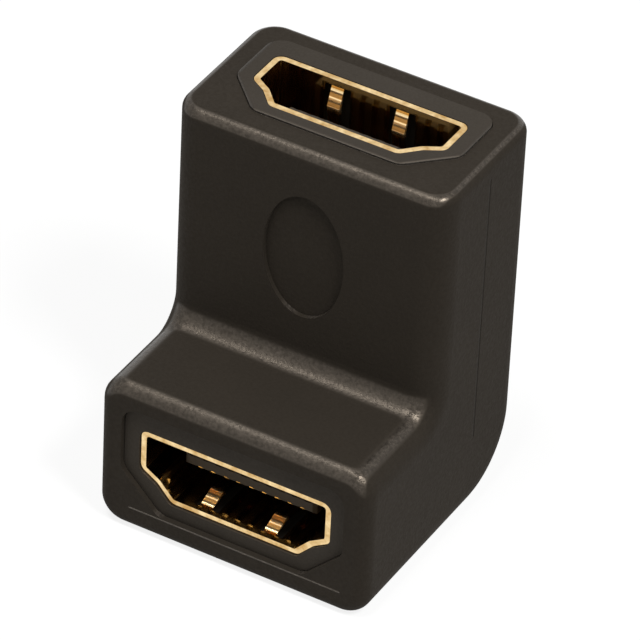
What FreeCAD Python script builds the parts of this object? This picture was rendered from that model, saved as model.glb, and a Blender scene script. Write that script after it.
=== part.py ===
"""Right angle coupler with two female 19-way sockets, one facing front and one facing up.

Millimetres. Z is up, Y points to the back, and the origin is at the centre of the foot's box,
on the surface that the part stands on. The width of the sockets' openings follows the
published size of this connector, 14 by 4.55 mm, and everything else is scaled to it.
"""
import FreeCAD, Part
import os
import re
import Sketcher

V = FreeCAD.Vector

SIZES = {
    # Outer housing: a foot with an upright block on its back half
    "housing_height": 29.6,
    "side_margin": 1.92,
    "back_margin": 1.9,
    "block_margin": 2.19,
    "foot_margin": 1.825,
    "under_margin": 2.115,
    "heel_radius": 6.0,
    "nook_radius": 1.5,
    "shoulder_radius": 2.0,
    "spine_radius": 2.0,
    "top_rim_radius": 0.8,
    "front_rim_radius": 1.1,
    "housing_wall": 1.4,
    "recess_width": 6.2,
    "recess_length": 9.8,
    "recess_depth": 0.35,
    "recess_rise": 0.25,
    # Inner mould, whose faces show around the two sockets: one set back, one standing proud
    "bezel_side": 1.2,
    "bezel_wide": 1.7,
    "bezel_narrow": 1.05,
    "bezel_corner": 3.0,
    "bezel_radius": 1.3,
    "front_bezel_inset": 0.4,
    "top_bezel_proud": 0.12,
    # Sockets: the D-shaped opening
    "tongue_room": 1.85,
    "opening_height": 4.55,
    "opening_side": 2.67,
    "opening_step": 1.15,
    "opening_step_fall": 0.7,
    "opening_slope": 1.1,
    "opening_radius": 0.25,
    "bend_radius": 0.55,
    # Drawn metal shells
    "shell_wall": 0.43,
    "shell_depth": 10.2,
    "front_mouth_inset": 0.15,
    "top_mouth_inset": 0.04,
    "slot_width": 2.0,
    "slot_end": 6.0,
    "finger_place": 2.5,
    "finger_width": 0.95,
    "finger_sheet": 0.25,
    "finger_tip": 0.5,
    "finger_crest": 1.9,
    "finger_rise": 0.55,
    "finger_overlap": 0.4,
    "crest_radius": 0.5,
    "leg_width": 1.2,
    "leg_reach": 0.8,
    "leg_place": 7.0,
    # Insulators with their tongues
    "base_thickness": 1.05,
    "back_inset": 0.35,
    "tongue_edge": 0.45,
    "tongue_thickness": 1.2,
    "tongue_inset": 1.95,
    "tongue_bevel": 0.25,
    # Contacts
    "narrow_contacts": 9,
    "contact_pitch": 1.0,
    "contact_width": 0.4,
    "contact_sheet": 0.3,
    "contact_proud": 0.05,
    "contact_inset": 0.3,
    "foot_reach": 0.9,
    "near_drop": 0.5,
    "far_drop": 1.6,
    # Circuit board
    "board_thickness": 0.8,
    "board_edge": 1.07,
    "board_drop": 0.765,
    "board_rise": 1.52,
    # Clearances
    "mould_gap": 0.05,
    "slot_gap": 0.03,
    "board_seat": 0.04,
}

doc = FreeCAD.newDocument("right_angle_coupler")
sheet = doc.addObject("Spreadsheet::Sheet", "sizes")
for row, (alias, value) in enumerate(SIZES.items(), 1):
    sheet.set(f"A{row}", alias)
    sheet.set(f"B{row}", str(value))
    sheet.setAlias(f"B{row}", alias)
doc.recompute()


def formula(text):
    """Turns a formula in plain size names into one that reads the sheet."""
    def alias(match):
        return f"sizes.{match[0]}" if match[0] in SIZES else match[0]
    return re.sub("[a-z_]+", alias, text)


def value(text):
    """The number that a formula in plain size names gives."""
    return float(sheet.evalExpression(formula(text)))


def minus(text):
    return f"0 - ({text})"


# Widths that follow from the rows of contacts, and heights across a socket
WIDE_CONTACTS = "(narrow_contacts + 1)"
NARROW_CONTACTS = "narrow_contacts"
TONGUE_WIDTH = "(narrow_contacts * contact_pitch + contact_width + 2 * tongue_edge)"
OPENING_WIDTH = f"({TONGUE_WIDTH} + 2 * tongue_room)"
SHELL_WIDTH = f"({OPENING_WIDTH} + 2 * shell_wall)"
SHELL_HEIGHT = "(opening_height + 2 * shell_wall)"
HOUSING_WIDTH = f"({SHELL_WIDTH} + 2 * (bezel_side + side_margin))"

# Places along the depth, from the front face through socket and board to the back
HOUSING_DEPTH = f"""(front_bezel_inset + front_mouth_inset + shell_depth + board_seat
    + board_thickness + mould_gap + {SHELL_HEIGHT} + bezel_wide + back_margin)"""
FRONT = f"({HOUSING_DEPTH} / 2)"
FRONT_BEZEL = f"({FRONT} - front_bezel_inset)"
FRONT_MOUTH = f"({FRONT_BEZEL} - front_mouth_inset)"
BOARD_FRONT = f"(shell_depth + board_seat - {FRONT_MOUTH})"
BOARD_REAR = f"({BOARD_FRONT} + board_thickness)"
TOP_SOCKET_PLACE = f"({BOARD_REAR} + mould_gap + {SHELL_HEIGHT} / 2)"
BLOCK_FRONT = f"({TOP_SOCKET_PLACE} - {SHELL_HEIGHT} / 2 - bezel_narrow - block_margin)"

# Heights of the sockets, the foot and the board
FRONT_SOCKET_HEIGHT = f"(under_margin + bezel_narrow + {SHELL_HEIGHT} / 2)"
FOOT_HEIGHT = f"({FRONT_SOCKET_HEIGHT} + {SHELL_HEIGHT} / 2 + bezel_wide + foot_margin)"
TOP_BEZEL = "(housing_height + top_bezel_proud)"
TOP_MOUTH = f"({TOP_BEZEL} - top_mouth_inset)"
BOARD_BOTTOM = f"({FRONT_SOCKET_HEIGHT} - {SHELL_HEIGHT} / 2 - board_drop)"
BOARD_TOP = f"({TOP_MOUTH} - leg_place + board_rise)"
BOARD_WIDTH = f"({SHELL_WIDTH} + 2 * board_edge)"

# Places inside a socket
INSULATOR_BACK = "(shell_depth - back_inset)"
FLOOR_DEPTH = f"({INSULATOR_BACK} - base_thickness)"
SHELL_SIDE_MIDDLE = "(opening_height / 2 - opening_side / 2)"
CONTACT_TOP = "(tongue_thickness / 2 + contact_proud)"
CONTACT_UNDER = f"({CONTACT_TOP} - contact_sheet)"
CONTACT_START = "(tongue_inset + contact_inset)"


# Building blocks

def new_body(label):
    body = doc.addObject("PartDesign::Body", label)
    body.Label = label
    return body


def place(body, x="0", y="0", z="0", turned=False):
    """Puts a body at a point; turned swings its mouth from up to front."""
    if turned:
        body.Placement = FreeCAD.Placement(V(0, 0, 0), FreeCAD.Rotation(V(1, 0, 0), 90))
    for axis, text in (("x", x), ("y", y), ("z", z)):
        body.setExpression(f"Placement.Base.{axis}", formula(text))
    return body


def sketch_on(body, name, role, offset="0"):
    """A sketch on one of the body's origin planes, moved along that plane's normal."""
    sketch = body.newObject("Sketcher::SketchObject", name)
    plane = next(item for item in body.Origin.OriginFeatures if item.Role == role)
    sketch.AttachmentSupport = [(plane, "")]
    sketch.MapMode = "FlatFace"
    sketch.setExpression("AttachmentOffset.Base.z", formula(offset))
    return sketch


def fix_point(sketch, line, end, across, up):
    """Holds one end of a line at a place given by two formulas."""
    for kind, text in (("DistanceX", across), ("DistanceY", up)):
        number = sketch.addConstraint(Sketcher.Constraint(kind, -1, 1, line, end, 1.0))
        sketch.renameConstraint(number, f"{kind}_{line}_{end}")
        sketch.setExpression(f"Constraints.{kind}_{line}_{end}", formula(text))


def add_outline(sketch, corners):
    """A closed outline of straight lines; each corner is a pair of formulas."""
    first = sketch.GeometryCount
    count = len(corners)
    turn = FreeCAD.Rotation(V(0, 0, 1), 360 / count)
    start = V(1, 0, 0)
    for _ in corners:
        end = turn.multVec(start)
        sketch.addGeometry(Part.LineSegment(start, end), False)
        start = end
    for index in range(count):
        following = first + (index + 1) % count
        sketch.addConstraint(Sketcher.Constraint("Coincident", first + index, 2, following, 1))
    for index, (across, up) in enumerate(corners):
        fix_point(sketch, first + index, 1, across, up)
    doc.recompute()
    return sketch


def rectangle(left, right, low, high):
    return [(left, low), (right, low), (right, high), (left, high)]


def pad(body, sketch, length, symmetric=False, backwards=False):
    feature = body.newObject("PartDesign::Pad", f"{sketch.Name}_pad")
    feature.Profile = sketch
    feature.SideType = "Symmetric" if symmetric else "One side"
    feature.Reversed = backwards
    feature.setExpression("Length", formula(length))
    doc.recompute()
    return feature


def pocket(body, sketch, length=None, symmetric=False):
    """Cuts a sketch out of the body; with no length it goes right through."""
    before = body.Tip.Shape.Volume
    feature = body.newObject("PartDesign::Pocket", f"{sketch.Name}_cut")
    feature.Profile = sketch
    feature.SideType = "Symmetric" if symmetric else "One side"
    if length is None:
        feature.Type = "ThroughAll"
    else:
        feature.setExpression("Length", formula(length))
    doc.recompute()
    if feature.Shape.isNull() or feature.Shape.Volume >= before:
        raise RuntimeError(f"{feature.Name} cuts nothing")
    return feature


def dress(body, kind, base, edges, amount):
    """A fillet or chamfer on the edges of a feature."""
    if not edges:
        raise RuntimeError(f"{body.Label}: no edges for {amount}")
    feature = body.newObject(f"PartDesign::{kind}", f"{base.Name}_{kind.lower()}")
    feature.Base = (base, edges)
    feature.setExpression("Radius" if kind == "Fillet" else "Size", formula(amount))
    doc.recompute()
    return feature


def corner_edges(feature, sketch, corners):
    """Names the edges that a sketch's corners leave along its normal."""
    along = sketch.Placement.Rotation.multVec(V(0, 0, 1))
    names = []
    for corner in corners:
        point = sketch.Placement.multVec(sketch.Geometry[corner].StartPoint)
        for number, edge in enumerate(feature.Shape.Edges, 1):
            ends = [vertex.Point for vertex in edge.Vertexes]
            if len(ends) == 2 and all((end - point).cross(along).Length < 1e-6 for end in ends):
                names.append(f"Edge{number}")
    return names


def edges_where(feature, test):
    """Names the edges whose every sampled point passes the test."""
    names = []
    for number, edge in enumerate(feature.Shape.Edges, 1):
        if all(test(point) for point in edge.discretize(5)):
            names.append(f"Edge{number}")
    return names


def repeat_across(body, feature, count, pitch):
    """Repeats a cut along the body's X axis."""
    pattern = body.newObject("PartDesign::LinearPattern", f"{feature.Name}_row")
    pattern.Originals = [feature]
    axis = next(item for item in body.Origin.OriginFeatures if item.Role == "X_Axis")
    pattern.Direction = (axis, [""])
    pattern.setExpression("Length", formula(f"({count} - 1) * {pitch}"))
    pattern.setExpression("Occurrences", formula(count))
    body.Tip = pattern
    doc.recompute()
    return pattern


# The D shape of the sockets

D_CORNERS = ("wide_right", "side_right", "bend_right", "narrow_right",
             "narrow_left", "bend_left", "side_left", "wide_left")


def d_corners(middle, growth):
    """Corners of the opening's outline, grown evenly on all sides.

    The wide edge is on the upper side of the sketch. Below it come upright sides, a short step
    that leans inward and a steeper slope on each side, which ends at the narrow edge.
    """
    fall = "(opening_height - opening_side - opening_step_fall)"
    step = "sqrt(pow(opening_step ; 2) + pow(opening_step_fall ; 2))"
    slant = f"sqrt(pow(opening_slope ; 2) + pow({fall} ; 2))"
    turn = f"(1 + (opening_step_fall * {fall} + opening_step * opening_slope) / ({step} * {slant}))"
    out = f"{growth} * (opening_step_fall / {step} + {fall} / {slant}) / {turn}"
    down = f"{growth} * (opening_step / {step} + opening_slope / {slant}) / {turn}"
    half = f"({OPENING_WIDTH} / 2 + {growth})"
    bend = f"({OPENING_WIDTH} / 2 - opening_step + {out})"
    narrow = (f"({OPENING_WIDTH} / 2 - opening_step - opening_slope"
              f" + {growth} * ({slant} - opening_slope) / {fall})")
    high = f"{middle} + opening_height / 2 + {growth}"
    side = (f"{middle} + opening_height / 2 - opening_side"
            f" - {growth} * ({step} - opening_step_fall) / opening_step")
    bend_up = f"{middle} + opening_height / 2 - opening_side - opening_step_fall - {down}"
    low = f"{middle} - opening_height / 2 - {growth}"
    right = [(half, high), (half, side), (bend, bend_up), (narrow, low)]
    left = [(minus(across), up) for across, up in reversed(right)]
    return right + left


def d_pad(body, name, role, offset, middle, growth, length, convex, concave=None):
    sketch = sketch_on(body, name, role, offset)
    add_outline(sketch, d_corners(middle, growth))
    block = pad(body, sketch, length, backwards=True)
    return round_d(body, block, sketch, convex, concave)


def d_pocket(body, name, role, offset, middle, growth, length, convex, concave):
    sketch = sketch_on(body, name, role, offset)
    add_outline(sketch, d_corners(middle, growth))
    hole = pocket(body, sketch, length)
    return round_d(body, hole, sketch, convex, concave)


def round_d(body, feature, sketch, convex, concave):
    bends = [corner for corner, name in enumerate(D_CORNERS) if name.startswith("bend")]
    others = [corner for corner, _ in enumerate(D_CORNERS) if corner not in bends]
    rounded = dress(body, "Fillet", feature, corner_edges(feature, sketch, others), convex)
    if concave is None:
        return rounded
    return dress(body, "Fillet", rounded, corner_edges(rounded, sketch, bends), concave)


# Housing and inner mould

def side_corners(inset):
    """The L-shaped side outline of the housing, moved inward by the inset."""
    back = f"{FRONT} - {inset}"
    front = f"{inset} - {FRONT}"
    top = f"housing_height - {inset}"
    step = f"{FOOT_HEIGHT} - {inset}"
    block = f"{BLOCK_FRONT} + {inset}"
    return [(front, inset), (back, inset), (back, top), (block, top), (block, step), (front, step)]


SIDE_CORNERS = ("toe", "heel", "nape", "brow", "nook", "instep")


def side_corner_edges(feature, profile, corner):
    return corner_edges(feature, profile, [SIDE_CORNERS.index(corner)])


def neck(body, name, role, face, middle, growth):
    """A neck around a socket: a rectangle with its two corners on the narrow side cut off."""
    half = f"({SHELL_WIDTH} / 2 + bezel_side + {growth})"
    high = f"{middle} + {SHELL_HEIGHT} / 2 + bezel_wide + {growth}"
    low = f"({middle} - {SHELL_HEIGHT} / 2 - bezel_narrow - {growth})"
    cut = f"(bezel_corner + {growth} * (2 - sqrt(2)))"
    right = [(half, high), (half, f"{low} + {cut}"), (f"({half} - {cut})", low)]
    left = [(minus(across), up) for across, up in reversed(right)]
    sketch = add_outline(sketch_on(body, name, role, face), right + left)
    block = pad(body, sketch, "3 * housing_wall", backwards=True)
    corners = corner_edges(block, sketch, range(len(right + left)))
    return dress(body, "Fillet", block, corners, f"bezel_radius + {growth}")


def moulding_core(label, growth, front_face):
    """The first moulding's outer form with its two necks, grown evenly by the clearance."""
    body = new_body(label)
    inset = f"(housing_wall - {growth})"
    profile = add_outline(sketch_on(body, "core_profile", "YZ_Plane"), side_corners(inset))
    core = pad(body, profile, f"{HOUSING_WIDTH} - 2 * {inset}", symmetric=True)
    dress(body, "Fillet", core, side_corner_edges(core, profile, "heel"),
          f"heel_radius - {inset}")
    neck(body, "front_neck", "XZ_Plane", front_face, FRONT_SOCKET_HEIGHT, growth)
    neck(body, "top_neck", "XY_Plane", f"{TOP_BEZEL} + {growth}", TOP_SOCKET_PLACE, growth)
    return body


def side_edges(feature, shoulder):
    """Long edges of the two sides: around the inner corner, or down the back and underneath."""
    half, back = value(HOUSING_WIDTH) / 2, value(FRONT)
    top, step, block = value("housing_height"), value(FOOT_HEIGHT), value(BLOCK_FRONT)
    names = []
    for number, edge in enumerate(feature.Shape.Edges, 1):
        points = edge.discretize(3)
        middle = points[1]
        on_side = all(abs(abs(point.x) - half) < 1e-6 for point in points)
        on_rim = abs(middle.z - top) < 1e-6 or abs(middle.y + back) < 1e-6
        inside = middle.y < block + 1e-6 and middle.z > step - 1e-6
        if on_side and not on_rim and inside == shoulder:
            names.append(f"Edge{number}")
    return names


def oval_sketch(body):
    """An upright oval on the front of the block."""
    oval = sketch_on(body, "oval_recess", "XZ_Plane", minus(BLOCK_FRONT))
    long_half, short_half = value("recess_length") / 2, value("recess_width") / 2
    ellipse = Part.Ellipse(V(0, long_half, 0), V(short_half, 0, 0), V(0, 0, 0))
    oval.addGeometry(ellipse, False)
    oval.exposeInternalGeometry(0)
    oval.addConstraint(Sketcher.Constraint("Vertical", 1))
    for line, alias in ((1, "recess_length"), (2, "recess_width")):
        number = oval.addConstraint(Sketcher.Constraint("Distance", line, value(alias)))
        oval.renameConstraint(number, alias)
        oval.setExpression(f"Constraints.{alias}", formula(alias))
    fix_point(oval, 0, 3, "0", f"({FOOT_HEIGHT} + housing_height) / 2 + recess_rise")
    doc.recompute()
    oval.solve()
    return oval


def outer_housing():
    """One soft moulding around the first one, with a shallow oval on the block's front."""
    body = new_body("outer_housing")
    profile = add_outline(sketch_on(body, "housing_profile", "YZ_Plane"), side_corners("0"))
    solid = pad(body, profile, HOUSING_WIDTH, symmetric=True)
    heel = dress(body, "Fillet", solid, side_corner_edges(solid, profile, "heel"), "heel_radius")
    nook = dress(body, "Fillet", heel, side_corner_edges(heel, profile, "nook"), "nook_radius")
    shoulders = dress(body, "Fillet", nook, side_edges(nook, shoulder=True), "shoulder_radius")
    spine = dress(body, "Fillet", shoulders, side_edges(shoulders, shoulder=False), "spine_radius")
    top, front = value("housing_height"), -value(FRONT)
    top_rim = edges_where(spine, lambda point: abs(point.z - top) < 1e-6)
    rim = dress(body, "Fillet", spine, top_rim, "top_rim_radius")
    front_rim = edges_where(rim, lambda point: abs(point.y - front) < 1e-6)
    dress(body, "Fillet", rim, front_rim, "front_rim_radius")
    pocket(body, oval_sketch(body), "recess_depth")
    cavity = body.newObject("PartDesign::Boolean", "cavity")
    cavity.Type = "Cut"
    cavity.setObjects([moulding_core("housing_cavity", "mould_gap", f"{FRONT} + mould_gap")])
    doc.recompute()
    return body


def inner_mould():
    """The first moulding: it holds the board and both sockets, and its two necks show outside."""
    body = moulding_core("inner_mould", "0", FRONT_BEZEL)
    growth = "(shell_wall + mould_gap)"
    convex = f"opening_radius + {growth}"
    concave = "bend_radius - mould_gap"
    d_pocket(body, "front_seat", "XZ_Plane", FRONT_BEZEL, FRONT_SOCKET_HEIGHT, growth,
             f"{FRONT_BEZEL} + {BOARD_REAR}", convex, concave)
    d_pocket(body, "top_seat", "XY_Plane", TOP_BEZEL, TOP_SOCKET_PLACE, growth,
             "top_mouth_inset + shell_depth + mould_gap", convex, concave)
    board = rectangle(f"{BOARD_FRONT} - mould_gap", f"{BOARD_REAR} + mould_gap",
                      f"{BOARD_BOTTOM} - mould_gap", f"{BOARD_TOP} + mould_gap")
    pocket(body, add_outline(sketch_on(body, "board_seat", "YZ_Plane"), board),
           f"{BOARD_WIDTH} + 2 * mould_gap", symmetric=True)
    tails = rectangle(BOARD_REAR, f"{TOP_SOCKET_PLACE} + {CONTACT_TOP} + mould_gap",
                      f"{TOP_MOUTH} - {INSULATOR_BACK} - far_drop - foot_reach - 2 * mould_gap",
                      f"{TOP_MOUTH} - {INSULATOR_BACK}")
    pocket(body, add_outline(sketch_on(body, "tail_room", "YZ_Plane"), tails),
           f"({WIDE_CONTACTS} + 1) * contact_pitch", symmetric=True)
    legs = rectangle(BOARD_REAR, TOP_SOCKET_PLACE,
                     f"{TOP_MOUTH} - leg_place - leg_width - mould_gap",
                     f"{TOP_MOUTH} - leg_place + mould_gap")
    pocket(body, add_outline(sketch_on(body, "leg_room", "YZ_Plane"), legs),
           f"{SHELL_WIDTH} + 2 * mould_gap", symmetric=True)
    return body


def leg_pair(low, high, growth="0"):
    """Outlines of a pair of shell legs, one in the plane of each side wall, or of their holes."""
    inner = f"{OPENING_WIDTH} / 2 - {growth}"
    outer = f"{SHELL_WIDTH} / 2 + {growth}"
    low = f"{low} - {growth}"
    high = f"{high} + {growth}"
    return rectangle(inner, outer, low, high), rectangle(minus(outer), minus(inner), low, high)


def circuit_board():
    """The board stands between the back of one socket and the underside of the other."""
    body = new_body("circuit_board")
    half = f"{BOARD_WIDTH} / 2"
    outline = rectangle(minus(half), half, BOARD_BOTTOM, BOARD_TOP)
    sketch = sketch_on(body, "board_outline", "XZ_Plane", minus(BOARD_FRONT))
    add_outline(sketch, outline)
    pad(body, sketch, "board_thickness", backwards=True)
    middle = f"{FRONT_SOCKET_HEIGHT} + {SHELL_SIDE_MIDDLE}"
    leg_holes = sketch_on(body, "leg_holes", "XZ_Plane", minus(BOARD_FRONT))
    for low, high in ((f"{middle} - leg_width / 2", f"{middle} + leg_width / 2"),
                      (f"{TOP_MOUTH} - leg_place - leg_width", f"{TOP_MOUTH} - leg_place")):
        for outline in leg_pair(low, high, "slot_gap"):
            add_outline(leg_holes, outline)
    pocket(body, leg_holes)
    return body


# Socket pieces. Their own frame has the mouth at Z 0, facing up, with the wide edge on +Y.

def add_fingers(body, side, number):
    """Two contact springs, bent inward from the wide and the narrow wall at one place."""
    sketch = sketch_on(body, f"fingers_{number}", "YZ_Plane", f"{side} * finger_place")
    inner = "opening_height / 2"
    root = f"{inner} + (shell_wall - finger_sheet) / 2"
    crest = (f"{inner} - finger_rise", minus("finger_crest"))
    skin = [(root, minus("slot_end + finger_overlap")), (root, minus("slot_end")), crest,
            (inner, minus("finger_tip"))]
    back = [(f"{across} + finger_sheet", up) for across, up in reversed(skin)]
    crests = []
    for sign in ("1", "-1"):
        crests.append(sketch.GeometryCount + skin.index(crest))
        loop = [(f"{sign} * ({across})", up) for across, up in skin + back]
        add_outline(sketch, loop)
    springs = pad(body, sketch, "finger_width", symmetric=True)
    return dress(body, "Fillet", springs, corner_edges(springs, sketch, crests), "crest_radius")


def shell(label, legs):
    """The drawn shell, with four slots, their springs and the legs that hold it to the board."""
    body = new_body(label)
    d_pad(body, "skin", "XY_Plane", "0", "0", "shell_wall", "shell_depth",
          "opening_radius + shell_wall", "bend_radius")
    d_pocket(body, "bore", "XY_Plane", "0", "0", "0", None, "opening_radius",
             "bend_radius + shell_wall")
    slots = sketch_on(body, "slots", "XZ_Plane")
    for side in ("1", "-1"):
        centre = f"{side} * finger_place"
        add_outline(slots, rectangle(f"{centre} - slot_width / 2", f"{centre} + slot_width / 2",
                                     minus("slot_end"), minus("finger_tip - slot_gap")))
    pocket(body, slots, f"2 * {SHELL_HEIGHT}", symmetric=True)
    for number, side in enumerate(("1", "-1"), 1):
        add_fingers(body, side, number)
    legs(body)
    return body


def straight_legs(body):
    """Legs that run on from the side walls into the board behind the socket."""
    low = f"{SHELL_SIDE_MIDDLE} - leg_width / 2"
    high = f"{SHELL_SIDE_MIDDLE} + leg_width / 2"
    sketch = sketch_on(body, "legs", "XY_Plane", minus("shell_depth"))
    for outline in leg_pair(low, high):
        add_outline(sketch, outline)
    pad(body, sketch, f"{FRONT_MOUTH} + {BOARD_FRONT} - shell_depth + leg_reach", backwards=True)


def side_legs(body):
    """Legs that drop from the side walls into the board below the socket."""
    low = minus(f"{SHELL_HEIGHT} / 2 + mould_gap + leg_reach")
    high = "opening_height / 2 - opening_side"
    sketch = sketch_on(body, "legs", "XY_Plane", minus("leg_place"))
    for outline in leg_pair(low, high):
        add_outline(sketch, outline)
    pad(body, sketch, "leg_width", backwards=True)


def insulator(label):
    """The block that closes the shell, with the tongue and its grooves."""
    body = new_body(label)
    d_pad(body, "base", "XY_Plane", minus(FLOOR_DEPTH), "0", f"({minus('mould_gap')})",
          "base_thickness", "opening_radius - mould_gap")
    half = f"{TONGUE_WIDTH} / 2"
    thick = "tongue_thickness / 2"
    section = rectangle(minus(half), half, minus(thick), thick)
    sketch = add_outline(sketch_on(body, "tongue", "XY_Plane", minus(FLOOR_DEPTH)), section)
    tongue = pad(body, sketch, f"{FLOOR_DEPTH} - tongue_inset")
    end = -value("tongue_inset")
    tips = edges_where(tongue, lambda point: abs(point.z - end) < 1e-6)
    dress(body, "Chamfer", tongue, tips, "tongue_bevel")
    for name, sign, count in (("wide", "1", WIDE_CONTACTS), ("narrow", "-1", NARROW_CONTACTS)):
        centre = minus(f"({count} - 1) * contact_pitch / 2")
        across = "(contact_width / 2 + slot_gap)"
        levels = [f"{CONTACT_UNDER} - slot_gap", f"{CONTACT_TOP} + slot_gap"]
        low, high = (f"{sign} * ({level})" for level in levels)
        groove = sketch_on(body, f"{name}_groove", "XY_Plane", minus("tongue_inset"))
        add_outline(groove, rectangle(f"{centre} - {across}", f"{centre} + {across}", low, high))
        cut = pocket(body, groove, INSULATOR_BACK)
        repeat_across(body, cut, count, "contact_pitch")
    return body


def straight_tail(sign):
    """Side outline of a contact whose foot lies on the board behind the socket."""
    board = minus(f"{FRONT_MOUTH} + {BOARD_FRONT}")
    reach = f"{CONTACT_TOP} + foot_reach"
    start = minus(CONTACT_START)
    corners = [(CONTACT_UNDER, start), (CONTACT_TOP, start),
               (CONTACT_TOP, f"{board} + contact_sheet"), (reach, f"{board} + contact_sheet"),
               (reach, board), (CONTACT_UNDER, board)]
    return [(f"{sign} * ({across})", up) for across, up in corners]


def bent_tail(sign, drop):
    """Side outline of a contact that drops to the board below the socket and runs on as a foot."""
    board = minus(f"{SHELL_HEIGHT} / 2 + mould_gap")
    bend = minus(f"{INSULATOR_BACK} + {drop}")
    start = minus(CONTACT_START)
    inner, outer = (CONTACT_UNDER, CONTACT_TOP) if sign == "1" else (CONTACT_TOP, CONTACT_UNDER)
    return [(f"{sign} * {outer}", start),
            (f"{sign} * {outer}", f"{bend} - contact_sheet"),
            (f"{board} + contact_sheet", f"{bend} - contact_sheet"),
            (f"{board} + contact_sheet", f"{bend} - foot_reach"),
            (board, f"{bend} - foot_reach"), (board, bend),
            (f"{sign} * {inner}", bend), (f"{sign} * {inner}", start)]


def contact(label, outline, across, seat):
    body = new_body(label)
    sketch = add_outline(sketch_on(body, "strip", "YZ_Plane", across), outline)
    pad(body, sketch, "contact_width", symmetric=True)
    return seat(body)


def contacts(prefix, outline_of, seat):
    """Nineteen contacts: odd numbers on the wide side, even numbers on the narrow side."""
    made = []
    for row, sign, count in ((0, "1", WIDE_CONTACTS), (1, "-1", NARROW_CONTACTS)):
        for index in range(int(value(count))):
            number = 2 * index + 1 + row
            across = f"({index} - ({count} - 1) / 2) * contact_pitch"
            made.append(contact(f"{prefix}_contact_{number:02d}", outline_of(sign), across, seat))
    return made


def at_front(body):
    return place(body, y=minus(FRONT_MOUTH), z=FRONT_SOCKET_HEIGHT, turned=True)


def at_top(body):
    return place(body, y=TOP_SOCKET_PLACE, z=TOP_MOUTH)


def top_tail(sign):
    return bent_tail(sign, "far_drop" if sign == "1" else "near_drop")


pieces = [outer_housing(), inner_mould(), circuit_board(),
          at_front(shell("front_shell", straight_legs)), at_top(shell("top_shell", side_legs)),
          at_front(insulator("front_insulator")), at_top(insulator("top_insulator"))]
pieces += contacts("front", straight_tail, at_front)
pieces += contacts("top", top_tail, at_top)
doc.recompute()

for item in doc.Objects:
    if {"Invalid", "Error"} & set(item.State):
        raise RuntimeError(f"{item.Label} failed: {item.State}")
for piece in pieces:
    if piece.Shape.isNull() or not piece.Shape.isValid() or len(piece.Shape.Solids) != 1:
        raise RuntimeError(f"{piece.Label} is not one valid solid")

os.makedirs("parts", exist_ok=True)
for piece in pieces:
    piece.Shape.exportStep(f"parts/{piece.Label}.step")
box = Part.Compound([piece.Shape for piece in pieces]).optimalBoundingBox()
print(f"{len(pieces)} pieces, {box.XLength:.2f} x {box.YLength:.2f} x {box.ZLength:.2f} mm")
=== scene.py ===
"""Looks of a right angle coupler: moulded black housing, gold sockets, studio light.

Metres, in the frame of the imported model: Z is up and the front socket faces -Y.
Places on the part are in millimetres and are multiplied by MM where a node needs them.
"""
import bpy
import math
from mathutils import Matrix, Vector

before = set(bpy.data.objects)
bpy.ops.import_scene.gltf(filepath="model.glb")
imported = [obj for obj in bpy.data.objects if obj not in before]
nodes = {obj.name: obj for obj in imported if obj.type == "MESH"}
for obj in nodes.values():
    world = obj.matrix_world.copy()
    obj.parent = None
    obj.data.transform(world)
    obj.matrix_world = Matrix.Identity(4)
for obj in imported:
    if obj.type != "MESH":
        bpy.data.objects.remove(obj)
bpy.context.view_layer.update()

scene = bpy.context.scene
MM = 0.001


# Places on the part, in millimetres

FRONT_MOUTH_Y, FRONT_MIDDLE_Z = -9.775, 5.87
TOP_MOUTH_Z, TOP_MIDDLE_Y = 29.68, 4.02

FLANK_X = (10.3, 10.4)
PARTING_Y, PARTING_HALF = 4.0, 0.09
PARTING_MIDDLE_Z, PARTING_HALF_LENGTH = 17.4, 10.8

FRONT_FACE_Y = (-9.8, -10.1)
STEP_Z, STEP_HALF = 1.95, 0.06
STEP_MIDDLE_X, STEP_HALF_LENGTH = 0.35, 8.3
LINE_DEPTH = 0.2

BEZEL_HALF_WIDTH, BEZEL_FRONT_Y, BEZEL_CUT = 8.63, 0.265, 3.0
BEZEL_FACE_Z = (29.56, 29.6)
LIP_WIDTH, LIP_DEPTH = 0.26, 0.14

BORE_EDGE_X, BORE_HALF_HEIGHT = (7.75, 7.65), 3.0
BORE_FROM_Y, BORE_FROM_Z = (-9.7, -9.55), (29.6, 29.45)

FINGER_X, FINGER_HALF = 2.5, 0.55
FINGER_REACH, FINGER_END = 2.18, (2.6, 1.9)
RIB_PITCH, RIB_DEPTH = 0.62, 0.05
RIB_SHAPE = (-0.5, 0.9)
RIM_DEPTH = (0.12, 0.04)
SHADE_DEPTH = (0.3, 1.8)


# Materials

BAND_BLUR = 0.04
FLAT_TO_EDGE, UPRIGHT_TO_RISING = (0.995, 0.935), (0.12, 0.40)
FLANK_TO_EDGE, EDGE_TO_CORNER = (0.70, 0.50), (0.05, 0.22)
BLACK = (0.0, 0.0, 0.0)
WARM_TINT = (1.0, 0.84, 0.67, 1.0)
# Pale tone of the front step: a painted highlight.
STEP_HIGHLIGHT = ((0.050, 0.043, 0.036), (0.115, 0.102, 0.088))
PLATED = ((0.83, 0.58, 0.25), (0.76, 0.51, 0.20))
# Gold of the deep walls, darkened as painted shade.
PLATED_SHADED = ((0.50, 0.31, 0.12), (0.38, 0.22, 0.08))
PLATED_RIM = ((0.56, 0.34, 0.12), (0.92, 0.70, 0.38))
PLATED_FINGER = ((0.62, 0.36, 0.12), (1.0, 0.80, 0.48))
PLATED_CONTACT = ((1.0, 0.74, 0.38), (0.92, 0.64, 0.28))
INSULATOR_BLACK = ((0.010, 0.009, 0.0075), (0.018, 0.016, 0.0135))
RESIST_GREEN = ((0.012, 0.060, 0.026), (0.020, 0.090, 0.040))


def shade(rgb, factor):
    return tuple(factor * part for part in rgb)


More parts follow.
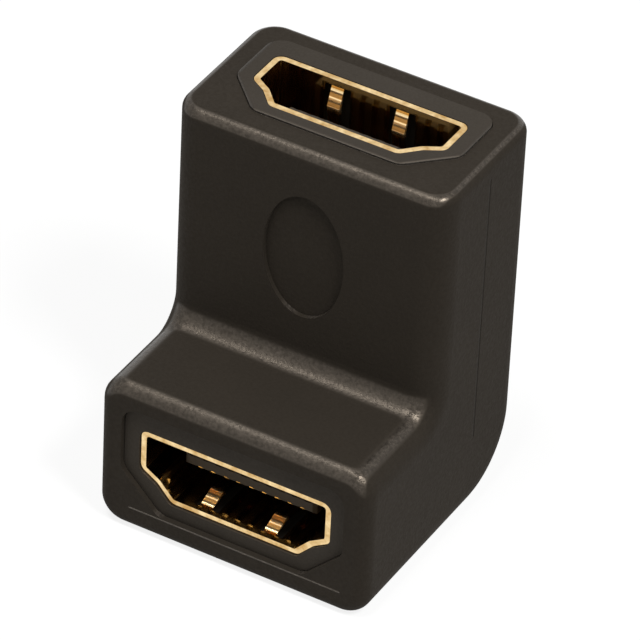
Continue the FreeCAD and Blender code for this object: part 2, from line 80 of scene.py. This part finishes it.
class Graph:
    """A material's node tree, with short calls to add nodes and join them."""

    def __init__(self, name):
        self.material = bpy.data.materials.new(name)
        self.material.use_nodes = True
        self.tree = self.material.node_tree
        self.shader = next(n for n in self.tree.nodes if n.type == "BSDF_PRINCIPLED")
        coordinates = self.add("ShaderNodeTexCoord")
        self.point = coordinates.outputs["Object"]
        self.normal = coordinates.outputs["Normal"]

    def add(self, kind, **values):
        node = self.tree.nodes.new(kind)
        for name, value in values.items():
            setattr(node, name, value)
        return node

    def join(self, source, target):
        self.tree.links.new(source, target)

    def parts(self, vector):
        """The X, Y and Z of a vector."""
        node = self.add("ShaderNodeSeparateXYZ")
        self.join(vector, node.inputs["Vector"])
        return [node.outputs[axis] for axis in "XYZ"]

    def noise(self, scale, detail=2.0, roughness=0.5, stretch=None):
        """Noise that stays with the piece; the scale is in grains a metre."""
        node = self.add("ShaderNodeTexNoise")
        node.inputs["Scale"].default_value = scale
        node.inputs["Detail"].default_value = detail
        node.inputs["Roughness"].default_value = roughness
        source = self.point
        if stretch:
            mapping = self.add("ShaderNodeMapping")
            mapping.inputs["Scale"].default_value = stretch
            self.join(self.point, mapping.inputs["Vector"])
            source = mapping.outputs["Vector"]
        self.join(source, node.inputs["Vector"])
        return node.outputs["Fac"]

    def cells(self, scale):
        """Rounded pits, with the scale in pits a metre."""
        node = self.add("ShaderNodeTexVoronoi")
        node.inputs["Scale"].default_value = scale
        self.join(self.point, node.inputs["Vector"])
        return node.outputs["Distance"]

    def flat(self, rgb):
        """One plain colour."""
        node = self.add("ShaderNodeRGB")
        node.outputs["Color"].default_value = (*rgb, 1.0)
        return node.outputs["Color"]

    def ramp(self, source, values, places=(0.3, 0.7)):
        """A ramp between two colours or greys at two places of the source."""
        node = self.add("ShaderNodeValToRGB")
        for element, place, value in zip(node.color_ramp.elements, places, values):
            element.position = place
            rgb = value if isinstance(value, tuple) else (value,) * 3
            element.color = (*rgb, 1.0)
        self.join(source, node.inputs["Fac"])
        return node.outputs["Color"]

    def math(self, operation, first, second=None):
        node = self.add("ShaderNodeMath", operation=operation)
        for socket, value in zip(node.inputs, (first, second)):
            if isinstance(value, float):
                socket.default_value = value
            elif value is not None:
                self.join(value, socket)
        return node.outputs["Value"]

    def product(self, first, *others):
        for other in others:
            first = self.math("MULTIPLY", first, other)
        return first

    def remap(self, source, low, high):
        """0 where the source is low, 1 where it is high, smooth between."""
        node = self.add("ShaderNodeMapRange", interpolation_type="SMOOTHSTEP")
        node.inputs["From Min"].default_value = low
        node.inputs["From Max"].default_value = high
        self.join(source, node.inputs["Value"])
        return node.outputs["Result"]

    def across(self, source, span):
        """0 at the first and 1 at the second of two places in millimetres."""
        return self.remap(source, span[0] * MM, span[1] * MM)

    def band(self, source, middle, half):
        """1 within half of the middle, in millimetres, and 0 outside."""
        offset = self.math("ABSOLUTE", self.math("SUBTRACT", source, middle * MM))
        return self.across(offset, (half + BAND_BLUR, half - BAND_BLUR))

    def mix(self, share, first, second):
        """Blend of two colours or greys."""
        node = self.add("ShaderNodeMix", data_type="RGBA")
        self.join(share, node.inputs["Factor"])
        self.join(first, node.inputs["A"])
        self.join(second, node.inputs["B"])
        return node.outputs["Result"]

    def bump(self, layers):
        """Stacks bumps; layers are (height source, strength, distance in mm)."""
        below = None
        for source, strength, distance in layers:
            node = self.add("ShaderNodeBump")
            node.inputs["Strength"].default_value = strength
            node.inputs["Distance"].default_value = distance * MM
            self.join(source, node.inputs["Height"])
            if below:
                self.join(below, node.inputs["Normal"])
            below = node.outputs["Normal"]
        self.join(below, self.shader.inputs["Normal"])

    def finish(self, colour, rough, layers, **values):
        """Joins the looks to the shader and gives back the material."""
        self.join(colour, self.shader.inputs["Base Color"])
        self.join(rough, self.shader.inputs["Roughness"])
        self.bump(layers)
        for name, value in values.items():
            self.shader.inputs[name.replace("_", " ")].default_value = value
        return self.material


def edge_polish_and_highlight(g):
    """Masks of the upward edges and their corners, not the flanks, where the colour is painted
    paler as a highlight and the roughness is polished.
    """
    facing = g.parts(g.normal)
    x, y, z = [g.math("ABSOLUTE", part) for part in facing]
    most = g.math("MAXIMUM", g.math("MAXIMUM", x, y), z)
    edge = g.product(g.remap(most, *FLAT_TO_EDGE), g.remap(facing[2], *UPRIGHT_TO_RISING),
                     g.remap(x, *FLANK_TO_EDGE))
    return edge, g.product(edge, g.remap(x, *EDGE_TO_CORNER))


def mould_lines(g):
    """The two halves' parting line down each side, and the fine step low on the front."""
    x, y, z = g.parts(g.point)
    parting = g.product(g.band(y, PARTING_Y, PARTING_HALF),
                        g.across(g.math("ABSOLUTE", x), FLANK_X),
                        g.band(z, PARTING_MIDDLE_Z, PARTING_HALF_LENGTH))
    step = g.product(g.band(z, STEP_Z, STEP_HALF), g.across(y, FRONT_FACE_Y),
                     g.band(x, STEP_MIDDLE_X, STEP_HALF_LENGTH))
    return parting, step


def lip_polish_and_highlight_mask(g):
    """Rises to 1 at the rounded lip of the upper bezel, along its front, sides and cut corners,
    which is rounded by bump, polished and painted paler as a highlight.
    """
    x, y, z = g.parts(g.point)
    side = g.math("SUBTRACT", BEZEL_HALF_WIDTH * MM, g.math("ABSOLUTE", x))
    front = g.math("SUBTRACT", y, BEZEL_FRONT_Y * MM)
    past_cut = g.math("SUBTRACT", g.math("ADD", side, front), BEZEL_CUT * MM)
    cut = g.math("MULTIPLY", past_cut, math.sqrt(0.5))
    inward = g.math("MINIMUM", g.math("MINIMUM", side, front), cut)
    return g.product(g.across(inward, (LIP_WIDTH, 0.0)), g.across(z, BEZEL_FACE_Z))


def bore_mask(g):
    """1 in the two mould bores behind the shells, which no light reaches."""
    x, y, z = g.parts(g.point)
    near = g.across(g.math("ABSOLUTE", x), BORE_EDGE_X)
    front = g.product(g.across(y, BORE_FROM_Y), g.band(z, FRONT_MIDDLE_Z, BORE_HALF_HEIGHT))
    top = g.product(g.across(z, BORE_FROM_Z), g.band(y, TOP_MIDDLE_Y, BORE_HALF_HEIGHT))
    return g.product(near, g.math("MAXIMUM", front, top))


def moulded_plastic(name, base, highlight_tone, grain_size, matt, polished, grain_depth, lined):
    """Black moulding compound: spark-eroded matt faces and edges that handling has polished, with
    the upward edges and the upper bezel's lip painted paler as a highlight.
    """
    g = Graph(name)
    polish_and_highlight, corner = edge_polish_and_highlight(g)
    grain = g.noise(grain_size, detail=3.0, roughness=0.65)
    cloud = g.noise(160, detail=3.0, roughness=0.55)
    grains = (0.35, 0.65)
    dark = g.ramp(cloud, (shade(base, 0.85), shade(base, 1.15)))
    # pale is the edge colour: a painted highlight on the upward edges and the lip, over their real
    # polish.
    pale = g.ramp(grain, (shade(highlight_tone, 0.6), shade(highlight_tone, 1.4)), grains)
    colour = g.mix(polish_and_highlight, dark, pale)
    rough = g.ramp(grain, (matt - 0.06, matt + 0.06), grains)
    smooth = g.ramp(grain, (polished - 0.05, polished + 0.07), grains)
    shiny = g.ramp(grain, (polished - 0.16, polished - 0.02), grains)
    layers = [(grain, 0.5, grain_depth), (g.cells(0.7 * grain_size), 0.3, 0.7 * grain_depth)]
    if lined:
        parting, step = mould_lines(g)
        colour = g.mix(parting, colour, g.flat(BLACK))
        # The front step is painted paler as a highlight where it catches the light; its bump is
        # real.
        colour = g.mix(step, colour, g.ramp(grain, STEP_HIGHLIGHT))
        layers.append((g.math("SUBTRACT", step, parting), 1.0, LINE_DEPTH))
    else:
        lip_polish_and_highlight, inside = lip_polish_and_highlight_mask(g), bore_mask(g)
        # The lip takes the pale edge colour as a painted highlight.
        colour = g.mix(inside, g.mix(lip_polish_and_highlight, colour, pale), g.flat(BLACK))
        rough = g.mix(inside, g.mix(lip_polish_and_highlight, rough, smooth), g.flat((1.0, 1.0, 1.0)))
        layers.append((g.math("SUBTRACT", 1.0, lip_polish_and_highlight), 1.0, LIP_DEPTH))
    return g.finish(colour, g.mix(corner, g.mix(polish_and_highlight, rough, smooth), shiny), layers,
                    Specular_IOR_Level=0.30, Specular_Tint=WARM_TINT)


def plated(name, tones):
    """A start for gold plating: its graph, colour, roughness, bumps and colour noise."""
    g = Graph(name)
    lines = g.noise(900, detail=3.0, roughness=0.6, stretch=(1.0, 1.0, 0.12))
    cloud = g.noise(420)
    return g, g.ramp(cloud, tones), g.ramp(lines, (0.06, 0.14)), [(lines, 0.03, 0.005)], cloud


def contact_gold():
    """Plated wire, polished all over."""
    g, colour, rough, layers, _ = plated("contact_gold", PLATED_CONTACT)
    return g.finish(colour, rough, layers, Metallic=1.0)


def shell_gold(name, depth_axis, mouth, middle_axis, middle):
    """Plated sheet: a worn rim, deep walls painted darker as shade and spring fingers ribbed by
    their bending.
    """
    g, colour, rough, layers, cloud = plated(name, PLATED)
    place = dict(zip("XYZ", g.parts(g.point)))
    depth = g.math("ABSOLUTE", g.math("SUBTRACT", place[depth_axis], mouth * MM))
    finger = g.product(g.band(g.math("ABSOLUTE", place["X"]), FINGER_X, FINGER_HALF),
                       g.band(place[middle_axis], middle, FINGER_REACH),
                       g.across(depth, FINGER_END))
    ribs = g.math("SINE", g.math("MULTIPLY", depth, 2 * math.pi / (RIB_PITCH * MM)))
    ribs = g.remap(ribs, *RIB_SHAPE)
    # Deeper than the mouth the walls are painted darker: painted shade.
    colour = g.mix(g.across(depth, SHADE_DEPTH), colour, g.ramp(cloud, PLATED_SHADED))
    # The fingers are left out of that painted shade, with ribbed bands of paler and darker gold.
    colour = g.mix(finger, colour, g.ramp(ribs, PLATED_FINGER, (0.0, 1.0)))
    worn_rim = g.ramp(g.noise(1300, roughness=0.6), PLATED_RIM)
    colour = g.mix(g.across(depth, RIM_DEPTH), colour, worn_rim)
    rough = g.mix(finger, rough, g.ramp(ribs, (0.42, 0.30), (0.0, 1.0)))
    layers.append((g.product(ribs, finger), 0.6, RIB_DEPTH))
    return g.finish(colour, rough, layers, Metallic=1.0)


def insulator_plastic():
    """Glass-filled black insulator."""
    g = Graph("insulator_plastic")
    grain = g.noise(4200, detail=3.0, roughness=0.6)
    return g.finish(g.ramp(grain, INSULATOR_BLACK), g.ramp(grain, (0.60, 0.75)),
                    [(grain, 0.2, 0.01)], Specular_IOR_Level=0.4, Specular_Tint=WARM_TINT)


def board_laminate():
    """Green solder resist over woven glass."""
    g = Graph("board_laminate")
    weave = g.noise(1500, stretch=(1.0, 1.0, 0.3))
    return g.finish(g.ramp(weave, RESIST_GREEN), g.ramp(weave, (0.30, 0.45)),
                    [(weave, 0.15, 0.01)])


def dress(node, material):
    for slot in nodes[node].material_slots:
        slot.material = material


dress("outer_housing", moulded_plastic(
    "housing_plastic", base=(0.0055, 0.0044, 0.0032), highlight_tone=(0.026, 0.022, 0.018),
    grain_size=4200, matt=0.88, polished=0.34, grain_depth=0.048, lined=True))
dress("inner_mould", moulded_plastic(
    "mould_plastic", base=(0.0120, 0.0102, 0.0082), highlight_tone=(0.024, 0.021, 0.018),
    grain_size=6200, matt=0.76, polished=0.38, grain_depth=0.015, lined=False))
dress("circuit_board", board_laminate())
dress("front_shell", shell_gold("front_gold", "Y", FRONT_MOUTH_Y, "Z", FRONT_MIDDLE_Z))
dress("top_shell", shell_gold("top_gold", "Z", TOP_MOUTH_Z, "Y", TOP_MIDDLE_Y))

CONTACT_GOLD = contact_gold()
INSULATOR = insulator_plastic()
for name in nodes:
    if name.endswith("_insulator"):
        dress(name, INSULATOR)
    elif "_contact_" in name:
        dress(name, CONTACT_GOLD)


# Floor

FLOOR_PALE = (0.80, 0.80, 0.79, 1.0)
FLOOR_WHITE_SHARE = 0.85
FLOOR_CORNERS = [(-3, -3, 0), (3, -3, 0), (3, 3, 0), (-3, 3, 0)]


def seen_directly(tree):
    """1 for the camera and for what shows in gloss or glass, 0 for light that falls on things."""
    path = tree.nodes.new("ShaderNodeLightPath")
    total = path.outputs["Is Camera Ray"]
    for name in ("Is Glossy Ray", "Is Transmission Ray"):
        either = tree.nodes.new("ShaderNodeMath")
        either.operation = "MAXIMUM"
        tree.links.new(total, either.inputs[0])
        tree.links.new(path.outputs[name], either.inputs[1])
        total = either.outputs["Value"]
    return total


def white_floor():
    """White to the camera and in reflections, with a faint shadow, and pale to the light."""
    material = bpy.data.materials.new("pale_floor")
    material.use_nodes = True
    tree = material.node_tree
    tree.nodes.clear()
    pale = tree.nodes.new("ShaderNodeBsdfDiffuse")
    pale.inputs["Color"].default_value = FLOOR_PALE
    white = tree.nodes.new("ShaderNodeEmission")
    share = tree.nodes.new("ShaderNodeMath")
    share.operation = "MULTIPLY"
    share.inputs[1].default_value = FLOOR_WHITE_SHARE
    tree.links.new(seen_directly(tree), share.inputs[0])
    blend = tree.nodes.new("ShaderNodeMixShader")
    tree.links.new(share.outputs["Value"], blend.inputs["Fac"])
    tree.links.new(pale.outputs["BSDF"], blend.inputs[1])
    tree.links.new(white.outputs["Emission"], blend.inputs[2])
    output = tree.nodes.new("ShaderNodeOutputMaterial")
    tree.links.new(blend.outputs["Shader"], output.inputs["Surface"])
    return material


sheet = bpy.data.meshes.new("floor")
sheet.from_pydata(FLOOR_CORNERS, [], [(0, 1, 2, 3)])
sheet.update()
sheet.materials.append(white_floor())
floor = bpy.data.objects.new("floor", sheet)
scene.collection.objects.link(floor)


# Light

SURROUND_WHITE = (1.0, 1.0, 1.0, 1.0)
SURROUND_LIGHT, SURROUND_SEEN = 0.15, 1.0
AIM = Vector((0.0, 0.0, 0.015))
LAMPS = (
    # name, place and side in metres, power in watts
    ("key", (-0.09, -0.06, 0.35), 0.07, 0.55),
    ("middle", (0.01, -0.11, 0.35), 0.06, 0.45),
    ("fill", (-0.10, -0.22, 0.27), 0.12, 0.05),
    ("side", (0.19, -0.07, 0.29), 0.09, 1.3),
)

world = bpy.data.worlds.new("studio")
world.use_nodes = True
tree = world.node_tree
surround = tree.nodes["Background"]
surround.inputs["Color"].default_value = SURROUND_WHITE
level = tree.nodes.new("ShaderNodeMapRange")
level.inputs["To Min"].default_value = SURROUND_LIGHT
level.inputs["To Max"].default_value = SURROUND_SEEN
tree.links.new(seen_directly(tree), level.inputs["Value"])
tree.links.new(level.outputs["Result"], surround.inputs["Strength"])
scene.world = world

for name, place, side, power in LAMPS:
    light = bpy.data.lights.new(name, "AREA")
    light.size = side
    light.energy = power
    lamp = bpy.data.objects.new(name, light)
    lamp.location = place
    lamp.rotation_euler = (AIM - Vector(place)).to_track_quat("-Z", "Y").to_euler()
    scene.collection.objects.link(lamp)


# Camera

AZIMUTH, ELEVATION, ROLL = (math.radians(a) for a in (28.6996, 37.3192, 2.8816))
EYE = Vector((164.955, -300.449, 275.988)) * MM
FOCAL_PIXELS, PICTURE_PIXELS, SENSOR_MM = 6403.37, 640, 36.0

back = Vector((math.sin(AZIMUTH) * math.cos(ELEVATION), -math.cos(AZIMUTH) * math.cos(ELEVATION),
               math.sin(ELEVATION)))
right = Vector((0.0, 0.0, 1.0)).cross(back).normalized()
up = back.cross(right)
across = math.cos(ROLL) * right + math.sin(ROLL) * up
upward = math.cos(ROLL) * up - math.sin(ROLL) * right
lens = bpy.data.cameras.new("camera")
lens.sensor_width = SENSOR_MM
lens.lens = FOCAL_PIXELS / PICTURE_PIXELS * SENSOR_MM
lens.clip_start = 0.01
camera = bpy.data.objects.new("camera", lens)
camera.matrix_world = Matrix((across, upward, back)).transposed().to_4x4()
camera.location = EYE
scene.collection.objects.link(camera)
scene.camera = camera

scene.view_settings.view_transform = "Standard"
